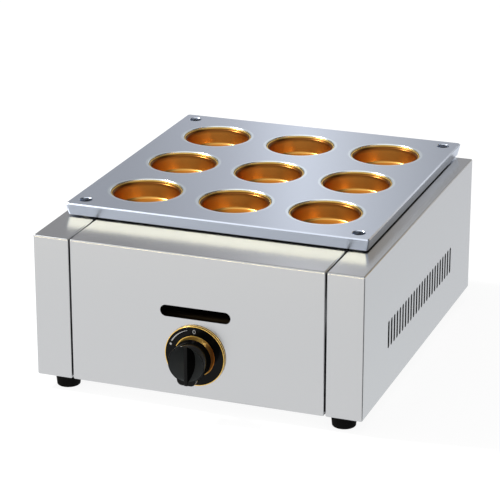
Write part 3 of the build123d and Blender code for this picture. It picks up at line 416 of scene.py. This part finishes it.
# Fire side. The firebox, burners, mixers and heat shield are plain steel that the
# flames have dulled and browned.
BURNT_STEEL_TONE = (0.05, 0.045, 0.04)
BURNT_STEEL_ROUGHNESS = 0.6

burner_steel = plain_finish("burner_steel", BURNT_STEEL_TONE, BURNT_STEEL_ROUGHNESS, metallic=1.0)
for name in cad:
    if name.startswith(("burner_tube", "air_mixer")) or name in ("firebox", "heat_shield", "burner_bracket"):
        dress(burner_steel, "burner_steel", name)

# Gas way. The valve, manifold, injectors, nuts and inlet are machined brass; the
# valve's stem is turned steel, and the pipe from the inlet to the valve is drawn
# steel. The manifold and injectors are painted dark as shade, so that the inside
# seen through the slot stays black.
VALVE_BRASS_TONE = (0.74, 0.52, 0.22)
VALVE_BRASS_ROUGHNESS = 0.3
SHADE_DARK_BRASS_TONE = (0.08, 0.055, 0.03)
SHADE_DARK_BRASS_ROUGHNESS = 0.5
PIPE_TONE = (0.5, 0.5, 0.5)
PIPE_ROUGHNESS = 0.35

valve_brass = plain_finish("valve_brass", VALVE_BRASS_TONE, VALVE_BRASS_ROUGHNESS, metallic=1.0)
dress(
    valve_brass, "valve_brass", "valve_body", "valve_bonnet", "valve_plug", "pipe_nuts", "inlet_connector",
    "inlet_locknut",
)
dress(screw_steel, "screw_steel", "valve_stem")
# Painted shade: the manifold and injectors are darkened so the inside stays black.
shade_dark_brass = plain_finish("shade_dark_brass", SHADE_DARK_BRASS_TONE, SHADE_DARK_BRASS_ROUGHNESS, metallic=1.0)
dress(shade_dark_brass, "valve_brass", "manifold", "injector_left", "injector_middle", "injector_right")
pipe_steel = plain_finish("pipe_steel", PIPE_TONE, PIPE_ROUGHNESS, metallic=1.0)
dress(pipe_steel, "pipe_steel", "supply_pipe")

# Return spring. A coil of bright steel wire in line with the dial's middle, between
# the valve's plug and the stem's collar.
DIAL_HEIGHT = 0.061

dress(screw_steel, "screw_steel", "stem_spring")
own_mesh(cad["stem_spring"])

# Mould plate. A thick aluminium plate, milled on top, duller on its drafted sides and
# screwed down at its four corners. The paler ring round each mould's hole is a
# painted highlight.
PLATE_TONE = (0.69, 0.75, 0.86)
PLATE_ROUGHNESS = 0.22
PLATE_SIDE_ROUGHNESS = 0.32
PLATE_TOP_FACING = 0.5
PLATE_GRAIN = (25, 700, 700)
PLATE_GRAIN_DEPTH = 0.1
RING_HIGHLIGHT_TONE = (0.85, 0.94, 1.0)
RING_HIGHLIGHT_START = 0.0402
RING_HIGHLIGHT_END = 0.0416
MOULD_MIDDLE = (-0.0068, 0.0345)
MOULD_PITCH = (0.0986, 0.1025)
MOULD_STEPS_FROM_MIDDLE = 1


def spot(tree, kind="Object"):
    """X, Y and Z of the spot that is shaded; with the kind Normal, of the way it faces."""
    point = tree.nodes.new("ShaderNodeTexCoord")
    split = tree.nodes.new("ShaderNodeSeparateXYZ")
    tree.links.new(point.outputs[kind], split.inputs[0])
    return split.outputs


def from_axis(tree, across, along):
    """Distance from an axis, which is the root of the two offsets' squares added up."""
    squares = [math_node(tree, "POWER", offset, 2) for offset in (across, along)]
    return math_node(tree, "SQRT", math_node(tree, "ADD", *squares))


def shader_of(material):
    """The shader that the material was first made with."""
    return next(node for node in material.node_tree.nodes if node.type == "BSDF_PRINCIPLED")


plate_aluminium = grained_metal(
    "plate_aluminium", PLATE_TONE, PLATE_ROUGHNESS, PLATE_GRAIN, PLATE_GRAIN_DEPTH
)
tree = plate_aluminium.node_tree
away = []
for place, middle, pitch in zip(spot(tree), MOULD_MIDDLE, MOULD_PITCH):
    from_middle = math_node(tree, "SUBTRACT", place, middle)
    nearest = math_node(tree, "ROUND", math_node(tree, "DIVIDE", from_middle, pitch))
    nearest = math_node(tree, "MINIMUM", nearest, MOULD_STEPS_FROM_MIDDLE)
    nearest = math_node(tree, "MAXIMUM", nearest, -MOULD_STEPS_FROM_MIDDLE)
    away.append(math_node(tree, "SUBTRACT", from_middle, math_node(tree, "MULTIPLY", nearest, pitch)))
# Painted highlight: a paler ring round each mould's hole.
ring = tree.nodes.new("ShaderNodeMapRange")
ring.inputs["From Min"].default_value = RING_HIGHLIGHT_START
ring.inputs["From Max"].default_value = RING_HIGHLIGHT_END
ring.inputs["To Min"].default_value = 1.0
ring.inputs["To Max"].default_value = 0.0
tree.links.new(from_axis(tree, *away), ring.inputs["Value"])
plate_shader = shader_of(plate_aluminium)
ring_highlighted = mixed(tree, ring.outputs["Result"], PLATE_TONE, RING_HIGHLIGHT_TONE)
tree.links.new(ring_highlighted, plate_shader.inputs["Base Color"])
upness = math_node(tree, "ABSOLUTE", spot(tree, "Normal")["Z"])
side_on = math_node(tree, "LESS_THAN", upness, PLATE_TOP_FACING)
rough = math_node(tree, "MULTIPLY_ADD", side_on, PLATE_SIDE_ROUGHNESS - PLATE_ROUGHNESS, PLATE_ROUGHNESS)
tree.links.new(rough, plate_shader.inputs["Roughness"])
dress(plate_aluminium, "plate_aluminium", "mould_plate")

# Moulds. Nine shallow bowls turned from brass: a rim that sits on the plate's ledge,
# a sloped lip, a step, a tapered wall and a flat floor with a rounded corner. Their
# colour is painted by height: a painted highlight on the floor and the lip, and painted
# shade darkening the top of the wall under the lip.
CUP_TURNS = 160
CUP_LEDGE_HEIGHT = 0.0018
CUP_BODY_RADIUS = 0.0355
CUP_WALL = 0.0015
CUP_FLOOR_RADIUS = 0.0315
CUP_FLOOR_ROUND = 0.003
CUP_LIP_FLAT = 0.0011
CUP_LIP_SLOPE = 0.0011
CUP_LIP_STEP = 0.0005
CUP_EDGE_ROUND = 0.0003
CUP_BREAK_ROUND = 0.0002
CUP_EDGE_STEPS = 3
CUP_UNDER_STEPS = 6
CUP_FLOOR_STEPS = 8
CUP_WALL_TONE = (0.60, 0.265, 0.052)
# Brass tones by height: painted highlights on the floor and the lip, painted shade on the wall's top under
# the lip.
CUP_PAINTED_LIGHT_TONES = (
    (0.1615, (0.80, 0.52, 0.15)),
    (0.1630, (0.68, 0.33, 0.07)),
    (0.1740, CUP_WALL_TONE),
    (0.1774, (0.24, 0.09, 0.018)),
    (0.1791, (0.20, 0.08, 0.018)),
    (0.1794, (0.88, 0.55, 0.12)),
)
CUP_ROUGHNESS = 0.32


def turned_cup(name, outline, centre):
    """Shape turned about the upright line through centre. Each outline point (radius r, height h)
    becomes the ring of points centre + (r cos u, r sin u, h), with u from 0 to 2 pi in CUP_TURNS
    steps; the first and the last point, with r = 0, are the poles."""
    rings = outline[1:-1]
    u = np.linspace(0, 2 * np.pi, CUP_TURNS, endpoint=False)
    points = np.empty((len(rings), CUP_TURNS, 3))
    points[..., 0] = rings[:, :1] * np.cos(u)
    points[..., 1] = rings[:, :1] * np.sin(u)
    points[..., 2] = rings[:, 1:]
    poles = np.zeros((2, 3))
    poles[:, 2] = outline[[0, -1], 1]
    points = np.vstack([points.reshape(-1, 3), poles]) + np.asarray(centre)
    index = np.arange(len(rings) * CUP_TURNS).reshape(len(rings), CUP_TURNS)
    after = np.roll(index, -1, axis=1)
    quads = np.stack([index[:-1], after[:-1], after[1:], index[1:]], axis=-1).reshape(-1, 4)
    first, last = len(points) - 2, len(points) - 1
    first_cap = np.stack([np.full(CUP_TURNS, first), after[0], index[0]], axis=-1)
    last_cap = np.stack([np.full(CUP_TURNS, last), index[-1], after[-1]], axis=-1)
    mesh = bpy.data.meshes.new(name)
    mesh.from_pydata(points.tolist(), [], quads.tolist() + first_cap.tolist() + last_cap.tolist())
    shape = bmesh.new()
    shape.from_mesh(mesh)
    bmesh.ops.recalc_face_normals(shape, faces=shape.faces)
    shape.to_mesh(mesh)
    shape.free()
    mesh.shade_smooth()
    mesh.set_sharp_from_angle(angle=CRISP_EDGE)
    piece = bpy.data.objects.new(name, mesh)
    bpy.context.scene.collection.objects.link(piece)
    return piece


def rounded(corner, before, after, radius, steps):
    """Arc of a circle that touches the sides towards before and after: its middle plus the two
    spokes, weighted by sin((1 - t) sweep) and sin(t sweep) over sin(sweep), with t from 0 to 1."""
    corner, before, after = (np.asarray(p, float) for p in (corner, before, after))
    a = (before - corner) / np.linalg.norm(before - corner)
    b = (after - corner) / np.linalg.norm(after - corner)
    half = np.arccos(np.clip(a @ b, -1, 1)) / 2
    middle = corner + (a + b) / np.linalg.norm(a + b) * radius / np.sin(half)
    start = corner + a * radius / np.tan(half) - middle
    end = corner + b * radius / np.tan(half) - middle
    t = np.linspace(0, 1, steps + 1)[:, None]
    sweep = np.pi - 2 * half
    return middle + (np.sin((1 - t) * sweep) * start + np.sin(t * sweep) * end) / np.sin(sweep)


mould_brass = plain_finish("mould_brass", CUP_WALL_TONE, CUP_ROUGHNESS, metallic=1.0)
tree = mould_brass.node_tree
tones_start, tones_end = CUP_PAINTED_LIGHT_TONES[0][0], CUP_PAINTED_LIGHT_TONES[-1][0]
level = tree.nodes.new("ShaderNodeMapRange")
level.inputs["From Min"].default_value = tones_start
level.inputs["From Max"].default_value = tones_end
tree.links.new(spot(tree)["Z"], level.inputs["Value"])
up_the_wall = [((height - tones_start) / (tones_end - tones_start), tone) for height, tone in CUP_PAINTED_LIGHT_TONES]
# Colour by height, carrying the painted highlights and painted shade of the tones above.
painted_light_by_height = tone_ramp(tree, level.outputs["Result"], up_the_wall)
tree.links.new(painted_light_by_height, shader_of(mould_brass).inputs["Base Color"])
for name in [name for name in cad if name.startswith("mould_cup")]:
    low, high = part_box(name)
    rim = (high[0] - low[0]) / 2
    top, under = high[2], low[2]
    ledge = top - CUP_LEDGE_HEIGHT
    floor_height = under + CUP_WALL
    lip_outer = rim - CUP_LIP_FLAT
    lip_inner = lip_outer - CUP_LIP_SLOPE
    wall_top = (lip_inner - CUP_LIP_STEP, ledge - CUP_LIP_STEP)
    floor_corner = (CUP_FLOOR_RADIUS, floor_height)
    under_corner = (CUP_FLOOR_RADIUS + CUP_WALL, under)
    body_top = (CUP_BODY_RADIUS, ledge - CUP_WALL)
    outline = np.vstack([
        [(0, under)],
        rounded(under_corner, (0, under), body_top, CUP_FLOOR_ROUND, CUP_UNDER_STEPS),
        [body_top, (CUP_BODY_RADIUS, ledge), (rim, ledge)],
        rounded((rim, top), (rim, ledge), (lip_outer, top), CUP_EDGE_ROUND, CUP_EDGE_STEPS),
        rounded((lip_outer, top), (rim, top), (lip_inner, ledge), CUP_BREAK_ROUND, CUP_EDGE_STEPS),
        rounded((lip_inner, ledge), (lip_outer, top), wall_top, CUP_EDGE_ROUND, CUP_EDGE_STEPS),
        rounded(wall_top, (lip_inner, ledge), floor_corner, CUP_EDGE_ROUND, CUP_EDGE_STEPS),
        rounded(floor_corner, wall_top, (0, floor_height), CUP_FLOOR_ROUND, CUP_FLOOR_STEPS),
        [(0, floor_height)],
    ])
    centre = ((low[0] + high[0]) / 2, (low[1] + high[1]) / 2, 0)
    cup = turned_cup(name.replace("mould_cup", "brass_mould"), outline, centre)
    keep_flats(cup)
    cup.data.materials.append(mould_brass)
    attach(cup, "case")
    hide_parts(name)

# Dial. A pressed brass bezel holds a gloss black ring. It is gilt, with a black band
# round its outer wall, and a painted shade darkens the right of its dish red-brown;
# studs on its back go through the front panel into push nuts.
BEZEL_GILT_RADIUS = 0.0222
BEZEL_WALL_START = -0.2011
BEZEL_WALL_END = -0.1992
BEZEL_DISH_RADIUS = 0.0215
BEZEL_ROUGHNESS = 0.38
GILT_TONE = (1.0, 0.66, 0.17)
DISH_SHADE_TONE = (0.50, 0.17, 0.03)
DISH_SHADE_START = 0.006
DISH_SHADE_END = 0.019
BEZEL_BLACK_TONE = (0.002, 0.002, 0.002)
BEZEL_BLACK_ROUGHNESS = 0.2
BEZEL_BLACK_GLOSS = 0.15
DIAL_TONE = (0.002, 0.002, 0.002)
DIAL_ROUGHNESS = 0.15
DIAL_GLOSS = 0.12


def from_knob_axis(tree, x, z):
    """Distance from the axis of the knob and the dial."""
    return from_axis(tree, x, math_node(tree, "SUBTRACT", z, DIAL_HEIGHT))


def overlaid(material, colour, roughness, gloss, covers):
    """The material gets a second, unmetallic finish where covers, given the piece's x, y and z
    sockets, comes to 1."""
    tree = material.node_tree
    shader = tree.nodes.new("ShaderNodeBsdfPrincipled")
    shader.inputs["Base Color"].default_value = (*colour, 1)
    shader.inputs["Roughness"].default_value = roughness
    shader.inputs["Specular IOR Level"].default_value = gloss
    blend = tree.nodes.new("ShaderNodeMixShader")
    out = next(node for node in tree.nodes if node.type == "OUTPUT_MATERIAL")
    first = out.inputs[0].links[0].from_socket
    tree.links.new(covers(tree, *spot(tree)), blend.inputs[0])
    tree.links.new(first, blend.inputs[1])
    tree.links.new(shader.outputs[0], blend.inputs[2])
    tree.links.new(blend.outputs[0], out.inputs[0])


def bezel_wall(tree, x, y, z):
    """1 on the bezel's outer wall, between its gilt front edge and its gilt foot."""
    outside = math_node(tree, "GREATER_THAN", from_knob_axis(tree, x, z), BEZEL_GILT_RADIUS)
    behind = math_node(tree, "GREATER_THAN", y, BEZEL_WALL_START)
    before = math_node(tree, "LESS_THAN", y, BEZEL_WALL_END)
    return math_node(tree, "MULTIPLY", outside, math_node(tree, "MULTIPLY", behind, before))


bezel_brass = plain_finish("bezel_brass", GILT_TONE, BEZEL_ROUGHNESS, metallic=1.0)
tree = bezel_brass.node_tree
on_bezel = spot(tree)
bezel_radius = from_knob_axis(tree, on_bezel["X"], on_bezel["Z"])
in_dish = math_node(tree, "LESS_THAN", bezel_radius, BEZEL_DISH_RADIUS)
# Painted shade: the gilt darkens to red-brown towards the right of the dish.
to_right = tree.nodes.new("ShaderNodeMapRange")
to_right.inputs["From Min"].default_value = DISH_SHADE_START
to_right.inputs["From Max"].default_value = DISH_SHADE_END
tree.links.new(on_bezel["X"], to_right.inputs["Value"])
dish_shaded = math_node(tree, "MULTIPLY", in_dish, to_right.outputs["Result"])
gilt_and_dish_shade = mixed(tree, dish_shaded, GILT_TONE, DISH_SHADE_TONE)
tree.links.new(gilt_and_dish_shade, shader_of(bezel_brass).inputs["Base Color"])
overlaid(bezel_brass, BEZEL_BLACK_TONE, BEZEL_BLACK_ROUGHNESS, BEZEL_BLACK_GLOSS, bezel_wall)
dress(bezel_brass, "bezel_brass", "dial_bezel")
dial_black = plain_finish("dial_black", DIAL_TONE, DIAL_ROUGHNESS, gloss=DIAL_GLOSS)
dress(dial_black, "gloss_black", "dial_face")

# Dial marks. White ink printed on the black ring: a nought at the top for off, a wedge
# on the left that narrows towards it, and a dot beyond the wedge's wide end.
INK_TONE = (0.85, 0.85, 0.83)
INK_ROUGHNESS = 0.4
INK_THICKNESS = 0.00004
INK_LIFT = 0.00003
WEDGE_RADIUS = 0.0277
WEDGE_WIDTH = 0.0013
WEDGE_TIP_SHARE = 0.25
WEDGE_ANGLES = (15, 61)
WEDGE_POINTS = 40
STOP_RADIUS = 0.0272
STOP_ANGLE = math.radians(68)
STOP_SIZE = 0.0012
STOP_HOLE_SHARE = 0.05
NOUGHT_RADIUS = 0.0262
NOUGHT_WIDTH = 0.0013
NOUGHT_HEIGHT = 0.0019
NOUGHT_LINE = 0.0005
ROUND_POINTS = 25

dial_face_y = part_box("dial_face")[0][1] - INK_LIFT
dial_ink = plain_finish("dial_ink", INK_TONE, INK_ROUGHNESS)


def ink(name, radius, angle):
    """Flat printed mark. Each point of a grid, given as a radius and an angle from the top towards
    the left, has x = -radius sin(angle) and z = DIAL_HEIGHT + radius cos(angle), and lies a hair
    before the dial's ring; the grid is thickened to both sides into a layer of ink."""
    mark_x = -radius * np.sin(angle)
    mark_z = DIAL_HEIGHT + radius * np.cos(angle)
    rows, columns = mark_x.shape
    points = np.stack([mark_x, np.full(mark_x.shape, dial_face_y), mark_z], axis=-1).reshape(-1, 3)
    index = np.arange(rows * columns).reshape(rows, columns)
    quads = np.stack([index[:-1, :-1], index[:-1, 1:], index[1:, 1:], index[1:, :-1]], axis=-1)
    mesh = bpy.data.meshes.new(name)
    mesh.from_pydata(points.tolist(), [], quads.reshape(-1, 4).tolist())
    mark = bpy.data.objects.new(name, mesh)
    bpy.context.scene.collection.objects.link(mark)
    layer = mark.modifiers.new("ink", "SOLIDIFY")
    layer.thickness = INK_THICKNESS
    layer.offset = 0
    mark.data.materials.append(dial_ink)
    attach(mark, "case")


def both_sides(width):
    """Offsets of the two sides of a line of this width."""
    return width * np.array([[-0.5, 0.5]])


along = np.radians(np.linspace(*WEDGE_ANGLES, WEDGE_POINTS))[:, None]
width_share = np.linspace(WEDGE_TIP_SHARE, 1, WEDGE_POINTS)[:, None]
ink("wedge_mark", WEDGE_RADIUS + both_sides(WEDGE_WIDTH * width_share), along + np.zeros((1, 2)))

# The dot is a disc with a pinhole, and the nought an oval line: each is drawn round its
# own middle, with cosine and sine, and then told as radius and angle from the dial's.
around = np.linspace(0, 2 * np.pi, ROUND_POINTS)[:, None]
stop_spokes = np.array([[STOP_HOLE_SHARE, 1.0]]) * STOP_SIZE
stop_x = stop_spokes * np.cos(around) + STOP_RADIUS * math.sin(STOP_ANGLE)
stop_z = stop_spokes * np.sin(around) + STOP_RADIUS * math.cos(STOP_ANGLE)
ink("stop_mark", np.hypot(stop_x, stop_z), np.arctan2(stop_x, stop_z))
nought_x = (NOUGHT_WIDTH + both_sides(NOUGHT_LINE)) * np.cos(around)
nought_z = (NOUGHT_HEIGHT + both_sides(NOUGHT_LINE)) * np.sin(around) + NOUGHT_RADIUS
ink("nought_mark", np.hypot(nought_x, nought_z), np.arctan2(nought_x, nought_z))

# Knob. Moulded gloss black plastic on the valve's stem; the hollows beside the grip
# ridge are left satin, and their lighter grey is a painted sheen.
KNOB_TONE = (0.002, 0.002, 0.002)
KNOB_ROUGHNESS = 0.10
KNOB_GLOSS = 0.14
# The hollows' lighter grey is a painted sheen; their roughness is the satin finish.
HOLLOW_SHEEN_TONE = (0.060, 0.065, 0.065)
HOLLOW_ROUGHNESS = 0.5
HOLLOW_GLOSS = 0.1
KNOB_DISH_RADIUS = 0.0184
KNOB_TIP = -0.2255
KNOB_DISH_FLOOR = -0.2110
RIDGE_HALF_TIP = 0.0019
RIDGE_FLARE_SHARE = 0.2786


def knob_hollows(tree, x, y, z):
    """1 in the dished front beside the ridge, whose flanks spread from its tip by a fixed share."""
    inside = math_node(tree, "LESS_THAN", from_knob_axis(tree, x, z), KNOB_DISH_RADIUS)
    depth = math_node(tree, "SUBTRACT", y, KNOB_TIP)
    flank = math_node(tree, "MULTIPLY_ADD", depth, RIDGE_FLARE_SHARE, RIDGE_HALF_TIP)
    beside = math_node(tree, "GREATER_THAN", math_node(tree, "ABSOLUTE", x), flank)
    before = math_node(tree, "LESS_THAN", y, KNOB_DISH_FLOOR)
    return math_node(tree, "MULTIPLY", inside, math_node(tree, "MULTIPLY", beside, before))


gloss_black = plain_finish("gloss_black", KNOB_TONE, KNOB_ROUGHNESS, gloss=KNOB_GLOSS)
overlaid(gloss_black, HOLLOW_SHEEN_TONE, HOLLOW_ROUGHNESS, HOLLOW_GLOSS, knob_hollows)
dress(gloss_black, "gloss_black", "knob")
